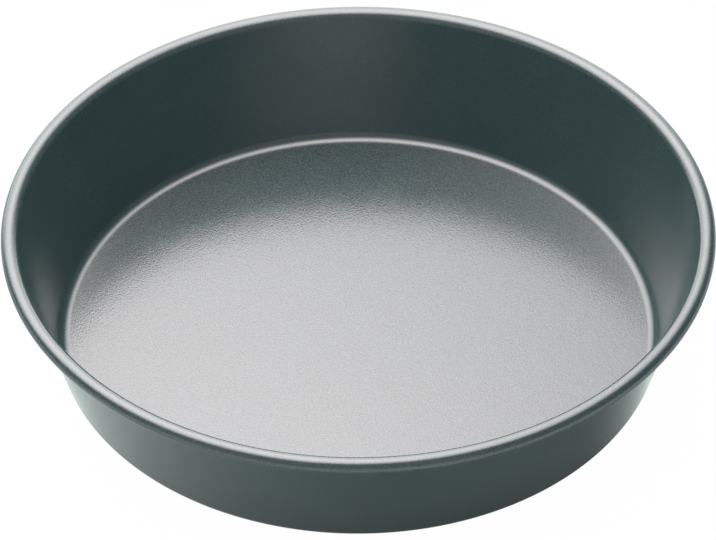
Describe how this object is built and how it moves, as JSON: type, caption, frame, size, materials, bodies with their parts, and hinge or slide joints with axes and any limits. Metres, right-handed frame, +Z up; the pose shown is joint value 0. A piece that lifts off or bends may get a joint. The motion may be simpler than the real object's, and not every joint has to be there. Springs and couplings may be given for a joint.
{
  "type": "round cake pan",
  "caption": "Round baking pan with a flat fixed floor, a flared wall and an outward rolled rim over a reinforcing wire, in dark non-stick coated steel.",
  "frame": {"origin": "middle of the flat underside, on the surface that the pan stands on", "axes": "+Z up along the axis of the round pan; X and Y level, alike all round"},
  "size_m": [0.24, 0.24, 0.0485],
  "materials": {
    "coated_steel": "dark grey non-stick coating, satin, with a fine metallic grain",
    "wire": "plain drawn steel wire"
  },
  "bodies": {
    "root": {"pan_body": "coated_steel", "rim_wire": "wire"}
  },
  "joints": []
}
